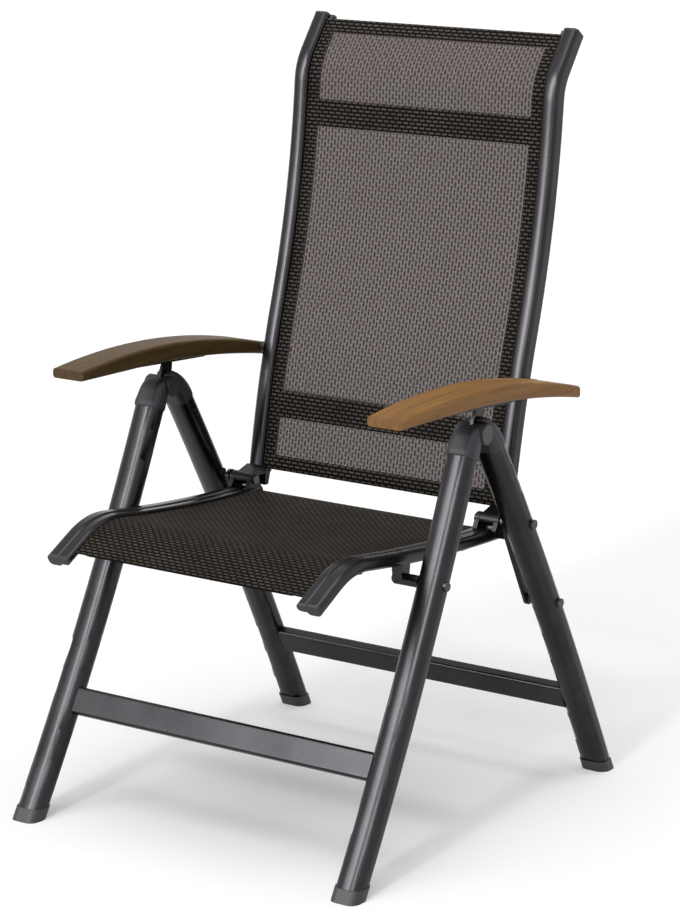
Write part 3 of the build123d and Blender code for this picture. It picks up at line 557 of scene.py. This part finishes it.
def open_weave(name, cord, yarn, period, row):
    """Open woven panel: taupe yarn that lets light through between staggered dark cords."""
    cloth = Finish(name)
    cords = dashes(cloth, period, row, row * CORD_GAP, turned=True)
    worn = cloth.noise(cloth.cloth_place((800.0, 800.0, 1.0)), detail=2.0)
    core = cloth.stretch(cords["Fac"], (0.2, 0.8), (1.0, 0.0))
    core = cloth.maths("MULTIPLY", core, cloth.stretch(worn, (0.3, 0.6), (0.7, 1.0)))
    cloth.shade(
        {
            "Base Color": cloth.mix(core, yarn, cord),
            "Roughness": 0.6,
            "Specular IOR Level": 0.03,
            "Alpha": cloth.maths("MAXIMUM", core, YARN_COVER),
            "Normal": cloth.bump(cloth.maths("ADD", core, worn), strength=0.35, depth=0.0005),
        }
    )
    return cloth.material


def sewing_thread(name, tone):
    """Twisted polyester thread."""
    thread = Finish(name)
    twist = thread.noise(thread.place(), detail=2.0, scale=2600.0)
    thread.shade(
        {
            "Base Color": thread.ramp(twist, (0.35, toned(tone, 0.7)), (0.7, toned(tone, 2.0))),
            "Roughness": 0.5,
            "Normal": thread.bump(twist, strength=0.3, depth=0.0002),
        }
    )
    return thread.material


def finish_nodes(names, material):
    """Give a finish to named solids of the frame."""
    for name in names:
        for place in bpy.data.objects[name].material_slots:
            place.material = material


def finish_slot(slot, material):
    """Give a finish to every solid of the frame that the record puts in this slot."""
    subparts = frame["record"]["subparts"]
    names = [part["node"] for part in subparts if part["material_slot"] == slot]
    if not names:
        raise RuntimeError(f"no solid has the slot {slot}")
    finish_nodes(names, material)


# ---- pieces


def add_object(name, data):
    """Put a mesh, a lamp or a camera into the scene."""
    made = bpy.data.objects.new(name, data)
    bpy.context.scene.collection.objects.link(made)
    return made


def add_mesh(name, bm):
    """Put a finished bmesh into the scene."""
    mesh = bpy.data.meshes.new(name)
    bm.to_mesh(mesh)
    bm.free()
    return add_object(name, mesh)


# ---- cloth


def along_line(heading):
    """The way a sling's line runs."""
    return Vector((0.0, cos(heading), sin(heading)))


def behind_line(heading):
    """The way to the cloth's far side: under the seat, and behind the back."""
    return Vector((0.0, sin(heading), -cos(heading)))


def arc_centre(place, heading, radius, turn):
    return place + behind_line(heading) * (radius if turn < 0 else -radius)


def run_length(run):
    size, turn = run
    return size * abs(radians(turn)) if turn else size


def shorten(run, cut):
    """A run with some of its length taken off."""
    size, turn = run
    if not turn:
        return (size - cut, turn)
    return (size, turn + degrees(cut / size) * (1 if turn < 0 else -1))


def walk(place, heading, run, part):
    """The place and the heading after this much of a run."""
    size, turn = run
    if not turn:
        return place + along_line(heading) * part, heading
    swing = part / size * (1 if turn > 0 else -1)
    centre = arc_centre(place, heading, size, turn)
    return centre + Matrix.Rotation(swing, 3, "X") @ (place - centre), heading + swing


def belly_share(run, reach):
    """How much of the belly is left at this distance along a sling."""
    return max(0.0, min(1.0, run / BELLY_FADE, (reach - run) / BELLY_FADE))


class Rail:
    """A sling's line between its bare ends, and how far behind it the cloth lies."""

    def __init__(self, start, heading, runs, offset, trims):
        first, last = trims
        self.offset = offset
        self.start, self.heading = walk(Vector((0.0, *start)), radians(heading), runs[0], first)
        self.runs = (shorten(runs[0], first), *runs[1:-1], shorten(runs[-1], last))

    def reach(self):
        return sum(run_length(run) for run in self.runs)

    def at(self, travelled):
        """A point of the cloth on the line, the way it runs there, and the way it faces."""
        place, heading, left = self.start, self.heading, travelled
        for run in self.runs:
            part = min(left, run_length(run))
            place, heading = walk(place, heading, run, part)
            left -= part
            if left <= 0:
                break
        behind = behind_line(heading)
        return place + behind * self.offset, along_line(heading), -behind

    def run_at_height(self, height):
        """How far along a rising rail a height is met."""
        low, high = 0.0, self.reach()
        while high - low > CLOSE_ENOUGH:
            middle = (low + high) / 2
            if self.at(middle)[0].z < height:
                low = middle
            else:
                high = middle
        return low


class ClothRow:
    """The moving edge of a sling: it is extruded step by step along the rail's line."""

    def __init__(self, bm, rail, half_width, across, offset):
        self.bm = bm
        self.place = rail.start
        self.heading = rail.heading
        self.travelled = 0.0
        self.run = bm.verts.layers.float.new("run")
        self.lean = bm.verts.layers.float.new("lean")
        ends = [bm.verts.new((side * half_width, 0.0, 0.0)) for side in (-1, 1)]
        bmesh.ops.subdivide_edges(bm, edges=[bm.edges.new(ends)], cuts=across - 1)
        lift = self.place + behind_line(self.heading) * offset
        bmesh.ops.translate(bm, verts=bm.verts[:], vec=lift)
        self.edges = bm.edges[:]
        self.mark(bm.verts[:])

    def mark(self, verts):
        """Note on the vertices how far the edge has come, and its heading."""
        for vert in verts:
            vert[self.run] = self.travelled
            vert[self.lean] = self.heading

    def grow(self):
        """Extrude the edge, and give the new vertices."""
        made = bmesh.ops.extrude_edge_only(self.bm, edges=self.edges)["geom"]
        verts = [part for part in made if isinstance(part, bmesh.types.BMVert)]
        fresh = set(verts)
        self.edges = [
            part
            for part in made
            if isinstance(part, bmesh.types.BMEdge) and all(vert in fresh for vert in part.verts)
        ]
        return verts

    def straight(self, reach, cell):
        steps = max(1, round(reach / cell))
        step = along_line(self.heading) * (reach / steps)
        for _ in range(steps):
            verts = self.grow()
            bmesh.ops.translate(self.bm, verts=verts, vec=step)
            self.place = self.place + step
            self.travelled += reach / steps
            self.mark(verts)

    def bend(self, radius, turn, cell):
        reach = run_length((radius, turn))
        steps = max(1, round(reach / cell))
        centre = arc_centre(self.place, self.heading, radius, turn)
        angle = radians(turn) / steps
        swing = Matrix.Rotation(angle, 3, "X")
        for _ in range(steps):
            verts = self.grow()
            bmesh.ops.rotate(self.bm, verts=verts, cent=centre, matrix=swing)
            self.place = centre + swing @ (self.place - centre)
            self.heading += angle
            self.travelled += reach / steps
            self.mark(verts)


def map_run(bm, row):
    """The weave follows the cloth: u across it and v along it, in metres."""
    weave = bm.loops.layers.uv.new("weave")
    for face in bm.faces:
        for loop in face.loops:
            loop[weave].uv = (loop.vert.co.x, loop.vert[row.run])


def cut_lines(bm, rail, runs, places):
    """Cut the cloth straight across at these runs, and straight along at these places."""
    planes = [rail.at(run)[:2] for run in runs]
    planes += [(Vector((place, 0.0, 0.0)), Vector((1.0, 0.0, 0.0))) for place in places]
    for spot, normal in planes:
        whole = bm.verts[:] + bm.edges[:] + bm.faces[:]
        bmesh.ops.bisect_plane(bm, geom=whole, plane_co=spot, plane_no=normal)


def face_run(face, row):
    return sum(vert[row.run] for vert in face.verts) / len(face.verts)


def keep_strip(bm, row, rail, places, runs):
    """Cut the cloth down to the strip between two places across it and two runs along it."""
    cut_lines(bm, rail, runs, places)
    outside = [
        face
        for face in bm.faces
        if not places[0] < face.calc_center_median().x < places[1]
        or not runs[0] < face_run(face, row) < runs[1]
    ]
    bmesh.ops.delete(bm, geom=outside, context="FACES")


class Sling:
    """A sling's cloth, hems and stitches, all laid along the same rails."""

    def __init__(self, look, rail, half_width, sag):
        self.look = look
        self.rail = rail
        self.reach = rail.reach()
        self.half = half_width
        self.inner = half_width - look.hem
        self.sag = sag

    def lay(self, behind=0.0):
        """Extrude the cloth, or a layer this far behind it, and let it dip between its rails."""
        bm = bmesh.new()
        offset = self.rail.offset + behind
        row = ClothRow(bm, self.rail, self.half, self.look.across, offset)
        for size, turn in self.rail.runs:
            if turn:
                row.bend(size, turn, self.look.cell)
            else:
                row.straight(size, self.look.cell)
        for vert in bm.verts:
            share = belly_share(vert[row.run], row.travelled)
            vert.co += behind_line(vert[row.lean]) * self.dip(vert.co.x) * share
        return bm, row

    def dip(self, x):
        """Depth of the belly at this place across the sling."""
        return self.sag * (1.0 - (x / self.half) ** 2)

    def cloth_piece(self, name, bm, *cloths):
        """Turn the finished cloth mesh into a piece with a real thickness."""
        bmesh.ops.recalc_face_normals(bm, faces=bm.faces[:])
        piece = add_mesh(name, bm)
        piece.data.shade_smooth()
        shell = piece.modifiers.new("thickness", "SOLIDIFY")
        shell.thickness = self.look.thickness
        shell.offset = 0.0
        shell.use_even_offset = True
        for cloth in cloths:
            piece.data.materials.append(cloth)
        return piece

    def hem(self, name, cloth, places, runs):
        """A hem: a strip of a second layer, close behind the cloth."""
        bm, row = self.lay(self.look.thickness * HEM_LAYER)
        keep_strip(bm, row, self.rail, places, runs)
        map_run(bm, row)
        return self.cloth_piece(name, bm, cloth)

    def end_hem_runs(self):
        return (0.0, self.look.hem), (self.reach - self.look.hem, self.reach)

    def stitch_place(self, spot, face, x, share=1.0):
        """Where a stitch sits on the cloth's face."""
        stand = self.look.thickness / 2 + self.look.thread * STITCH_STAND
        return spot + face * (stand - self.dip(x) * share) + Vector((x, 0, 0))

    def side_places(self):
        """Where the stitches along both sides sit, which way they lie and which way they face."""
        x = self.half - self.look.hem + STITCH_INSET
        places = []
        for index in range(int((self.reach - 2 * STITCH_START) / self.look.stitch_pitch)):
            spot, along, face = self.rail.at(STITCH_START + index * self.look.stitch_pitch)
            for side in (-1, 1):
                places.append((self.stitch_place(spot, face, side * x), along, face))
        return places

    def end_places(self):
        """The same for the stitches along both ends."""
        places = []
        inset = self.look.hem - STITCH_INSET
        for run in (inset, self.reach - inset):
            spot, _, face = self.rail.at(run)
            share = belly_share(run, self.reach)
            for index in range(int(2 * self.inner / self.look.stitch_pitch)):
                x = -self.inner + (index + 0.5) * self.look.stitch_pitch
                sewn = self.stitch_place(spot, face, x, share)
                places.append((sewn, Vector((1, 0, 0)), face))
        return places

    def sew(self, name, places, thread):
        """Short stitches: a low grain of thread at each place, lying along its line."""
        look = self.look
        bm = bmesh.new()
        for spot, along, face in places:
            side = along.cross(face).normalized()
            turn = Matrix((side, along, face)).transposed().to_4x4()
            scale = Matrix.Diagonal((look.thread, look.stitch, look.thread * STITCH_HEIGHT, 1.0))
            where = Matrix.Translation(spot) @ turn @ scale
            bmesh.ops.create_icosphere(bm, subdivisions=1, radius=0.5, matrix=where)
        piece = add_mesh(name, bm)
        piece.data.shade_smooth()
        piece.data.materials.append(thread)
        return piece


class ARMCHAIR_OT_back_cloth(bpy.types.Operator):
    """Make the back sling with its hems and stitches"""

    bl_idname = "armchair.back_cloth"
    bl_label = "Back sling"

    def execute(self, context):
        look = context.scene.armchair_cloth
        half = look.back_half_width
        pattern = (look.dash_period, look.dash_row)
        open_cloth = open_weave("back_open_weave", look.open_cord, look.open_yarn, *pattern)
        close_cloth = close_weave("back_close_weave", look.ground, look.fleck, *pattern)
        thread = sewing_thread("back_thread", look.thread_tone)

        trims = (look.back_trim, look.back_trim)
        rail = Rail(BACK_START, BACK_HEADING, BACK_RUNS, -look.back_offset, trims)
        sling = Sling(look, rail, half, look.back_sag)
        reach, inner = sling.reach, sling.inner
        bands = []
        for bar in ("lumbar_spreader", "head_spreader"):
            low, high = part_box(bar)
            bands.append([rail.run_at_height(corner.z) for corner in (low, high)])

        bm, row = sling.lay()
        lines = [look.hem, reach - look.hem] + [run for band in bands for run in band]
        cut_lines(bm, rail, lines, (-inner, inner))
        map_run(bm, row)
        for face in bm.faces:
            run = face_run(face, row)
            inside = abs(face.calc_center_median().x) < inner and look.hem < run < reach - look.hem
            backed = any(low < run < high for low, high in bands)
            face.material_index = 0 if inside and not backed else 1
        back = sling.cloth_piece("back_mesh", bm, open_cloth, close_cloth)
        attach(back, "backrest")
        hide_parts("back_sling")

        edge = half - look.lobe_lap
        bottom, top = sling.end_hem_runs()
        trimmings = [
            sling.hem("back_hem_left", close_cloth, (inner, edge), (0.0, reach)),
            sling.hem("back_hem_right", close_cloth, (-edge, -inner), (0.0, reach)),
            sling.hem("back_hem_top", close_cloth, (-inner, inner), top),
            sling.hem("back_hem_bottom", close_cloth, (-inner, inner), bottom),
        ]
        places = sling.side_places() + sling.end_places()
        trimmings.append(sling.sew("back_stitches", places, thread))
        for piece in trimmings:
            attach(piece, "backrest")
        return {"FINISHED"}


class ARMCHAIR_OT_seat_cloth(bpy.types.Operator):
    """Make the seat sling with its hems and stitches"""

    bl_idname = "armchair.seat_cloth"
    bl_label = "Seat sling"

    def execute(self, context):
        look = context.scene.armchair_cloth
        half = look.seat_half_width
        pattern = (look.dash_period, look.dash_row)
        # The seat's flecks are painted highlights of the glossy yarn.
        weave = close_weave("seat_close_weave", look.ground, look.seat_fleck_highlight, *pattern)
        thread = sewing_thread("seat_thread", look.thread_tone)

        trims = (look.seat_front_trim, look.seat_rear_trim)
        rail = Rail(SEAT_START, SEAT_HEADING, SEAT_RUNS, -look.seat_offset, trims)
        sling = Sling(look, rail, half, look.seat_sag)
        bm, row = sling.lay()
        map_run(bm, row)
        seat = sling.cloth_piece("seat_mesh", bm, weave)
        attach(seat, "seat")
        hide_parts("seat_sling")

        span = (-sling.inner, sling.inner)
        front, rear = sling.end_hem_runs()
        trimmings = [
            sling.hem("seat_hem_front", weave, span, front),
            sling.hem("seat_hem_rear", weave, span, rear),
        ]
        trimmings.append(sling.sew("seat_stitches", sling.end_places(), thread))
        for piece in trimmings:
            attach(piece, "seat")
        return {"FINISHED"}


# ---- finishes of the solids


def four_of(kind):
    """The nodes of a kind that each leg has."""
    return [f"{end}_{kind}_{side}" for end in ("front", "rear") for side in ("left", "right")]


class ARMCHAIR_OT_frame_finish(bpy.types.Operator):
    """Coat the tubes, links and hinge plates, plate the bolts and finish the hinge discs"""

    bl_idname = "armchair.frame_finish"
    bl_label = "Frame and fixings"

    def execute(self, context):
        look = context.scene.armchair_finish
        finish_slot("frame_coat", powder_coat("anthracite_coat", look.coat, TUBE_SHEEN))
        legs = powder_coat("leg_coat", look.coat, LEG_SHEEN, "oval", LEG_TUBE)
        finish_nodes(four_of("leg"), legs)
        rails = powder_coat("back_rail_coat", look.coat, TUBE_SHEEN, "crowned", BACK_TUBE)
        finish_nodes(("back_rail_left", "back_rail_right"), rails)
        finish_slot("hinge_coat", powder_coat("black_coat", look.hinge, HINGE_SHEEN))
        finish_slot("fixing_steel", plated_steel("plated_fixings", look.fixing))
        discs = moulded_plastic("hinge_disc_moulding", look.disc, DISC_ROUGH)
        finish_nodes(("knuckle_pins",), discs)
        return {"FINISHED"}


class ARMCHAIR_OT_plastics(bpy.types.Operator):
    """Finish the knuckles, the caps, the feet and the sling rods"""

    bl_idname = "armchair.plastics"
    bl_label = "Moulded plastics"

    def execute(self, context):
        look = context.scene.armchair_finish
        knuckles = moulded_plastic("knuckle_moulding", look.knuckle, KNUCKLE_ROUGH)
        finish_slot("knuckle_plastic", knuckles)
        finish_slot("cap_plastic", moulded_plastic("cap_moulding", look.cap, CAP_ROUGH))
        finish_slot("rod_plastic", moulded_plastic("rod_moulding", look.rod, ROD_ROUGH))
        feet = moulded_plastic("foot_moulding", look.foot, FOOT_ROUGH)
        finish_nodes(four_of("foot_cap"), feet)
        return {"FINISHED"}


class ARMCHAIR_OT_armrests(bpy.types.Operator):
    """Finish the wooden armrests and their plugs; the right armrest gets a darker copy of the
    teak, as painted shade
    """

    bl_idname = "armchair.armrests"
    bl_label = "Armrests"

    def execute(self, context):
        look = context.scene.armchair_finish
        finish_slot("teak", long_grain_teak("oiled_teak", look.teak_pale, look.teak_dark))
        # The right armrest's teak is darkened: painted shade.
        second = long_grain_teak("teak_painted_shade", look.shaded_teak_pale, look.shaded_teak_dark)
        finish_nodes(("armrest_right",), second)
        low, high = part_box("arm_plug_left")
        centre, radius = (low + high) / 2, (high.z - low.z) / 2
        plug = end_grain_plug("end_grain", look.teak_pale, look.plug, centre, radius)
        finish_slot("plug_wood", plug)
        return {"FINISHED"}


# ---- stage


def hang_lamp(name, lamp, place):
    """Hang a lamp at a place and point it at the chair."""
    made = add_object(name, lamp)
    made.location = place
    aim = Vector(LAMP_AIM) - Vector(place)
    made.rotation_euler = aim.to_track_quat("-Z", "Y").to_euler()
    return made


def distant_lamp(name, strength, spread, place):
    """A distant lamp that lights the whole floor evenly; its spread softens the shadows."""
    lamp = bpy.data.lights.new(name, "SUN")
    lamp.energy = strength
    lamp.angle = spread
    hang_lamp(name, lamp, place)


def strip_lamp(name, power, share, size, place):
    """An upright strip, seen in glossy faces alone, which draws bright lines down the tubes."""
    lamp = bpy.data.lights.new(name, "AREA")
    lamp.energy = power * share
    lamp.shape = "RECTANGLE"
    lamp.size, lamp.size_y = size
    hang_lamp(name, lamp, place).visible_diffuse = False


def lay_floor(look):
    """Lay a pale floor that looks white all round, and keeps the chair's shadow."""
    bm = bmesh.new()
    bmesh.ops.create_grid(bm, x_segments=1, y_segments=1, size=look.floor_reach)
    floor = add_mesh("floor", bm)
    ground = Finish("pale_floor")
    ground.shade(
        {
            "Base Color": look.floor,
            "Roughness": 0.9,
            "Specular IOR Level": 0.1,
            "Emission Color": (1, 1, 1),
            "Emission Strength": ground.maths("MULTIPLY", ground.seen(), look.glow),
        }
    )
    floor.data.materials.append(ground.material)


def light_surroundings(scene, look):
    """Light the chair evenly from all round, and show white where the surroundings are seen."""
    scene.world = bpy.data.worlds.new("even_light")
    scene.world.use_nodes = True
    air = Nodes(scene.world.node_tree)
    level = air.stretch(air.seen(), (0.0, 1.0), (look.sky, 1.0))
    white = air.add("ShaderNodeBackground", {"Color": (1, 1, 1), "Strength": level})
    air.add("ShaderNodeOutputWorld", {"Surface": white.outputs[0]})


def set_camera(scene, look):
    """Set the camera where the photograph was taken from."""
    view = bpy.data.cameras.new("photo_view")
    view.lens = look.lens
    view.sensor_width = FRAME_WIDTH
    view.clip_end = VIEW_DEPTH
    turn, rise = look.camera_turn, look.camera_rise
    ahead = Vector((-sin(turn) * cos(rise), cos(turn) * cos(rise), -sin(rise)))
    scene.camera = add_object("photo_view", view)
    scene.camera.location = look.camera_place
    scene.camera.rotation_euler = ahead.to_track_quat("-Z", "Y").to_euler()


class ARMCHAIR_OT_stage(bpy.types.Operator):
    """Lay the floor, light the chair and set the camera"""

    bl_idname = "armchair.stage"
    bl_label = "Floor, light and camera"

    def execute(self, context):
        scene = context.scene
        look = scene.armchair_stage
        scene.view_settings.view_transform = "Standard"
        lay_floor(look)
        light_surroundings(scene, look)
        distant_lamp("front_lamp", look.sun, *FRONT_LAMP)
        distant_lamp("overhead_lamp", look.overhead, *OVERHEAD_LAMP)
        strip_lamp("left_strip", look.strip, *LEFT_STRIP)
        strip_lamp("right_strip", look.strip, *RIGHT_STRIP)
        set_camera(scene, look)
        return {"FINISHED"}


class ARMCHAIR_PT_pieces(bpy.types.Panel):
    """The armchair's pieces, in the order they are made"""

    bl_idname = "ARMCHAIR_PT_pieces"
    bl_label = "Armchair"
    bl_space_type = "VIEW_3D"
    bl_region_type = "UI"
    bl_category = "Armchair"

    def draw(self, context):
        for step in STEPS:
            self.layout.operator(step.bl_idname)
        for group in (
            context.scene.armchair_cloth,
            context.scene.armchair_finish,
            context.scene.armchair_stage,
        ):
            box = self.layout.box()
            for name in group.__annotations__:
                box.prop(group, name)


STEPS = (
    ARMCHAIR_OT_stage,
    ARMCHAIR_OT_frame_finish,
    ARMCHAIR_OT_plastics,
    ARMCHAIR_OT_armrests,
    ARMCHAIR_OT_back_cloth,
    ARMCHAIR_OT_seat_cloth,
)
CLASSES = (ArmchairCloth, ArmchairFinish, ArmchairStage, *STEPS, ARMCHAIR_PT_pieces)


def register():
    for part in CLASSES:
        bpy.utils.register_class(part)
    bpy.types.Scene.armchair_cloth = PointerProperty(type=ArmchairCloth)
    bpy.types.Scene.armchair_finish = PointerProperty(type=ArmchairFinish)
    bpy.types.Scene.armchair_stage = PointerProperty(type=ArmchairStage)


def unregister():
    del bpy.types.Scene.armchair_stage
    del bpy.types.Scene.armchair_finish
    del bpy.types.Scene.armchair_cloth
    for part in reversed(CLASSES):
        bpy.utils.unregister_class(part)


def main():
    register()
    bpy.ops.armchair.stage()
    bpy.ops.armchair.frame_finish()
    bpy.ops.armchair.plastics()
    bpy.ops.armchair.armrests()
    bpy.ops.armchair.back_cloth()
    bpy.ops.armchair.seat_cloth()


if __name__ == "__main__":
    main()
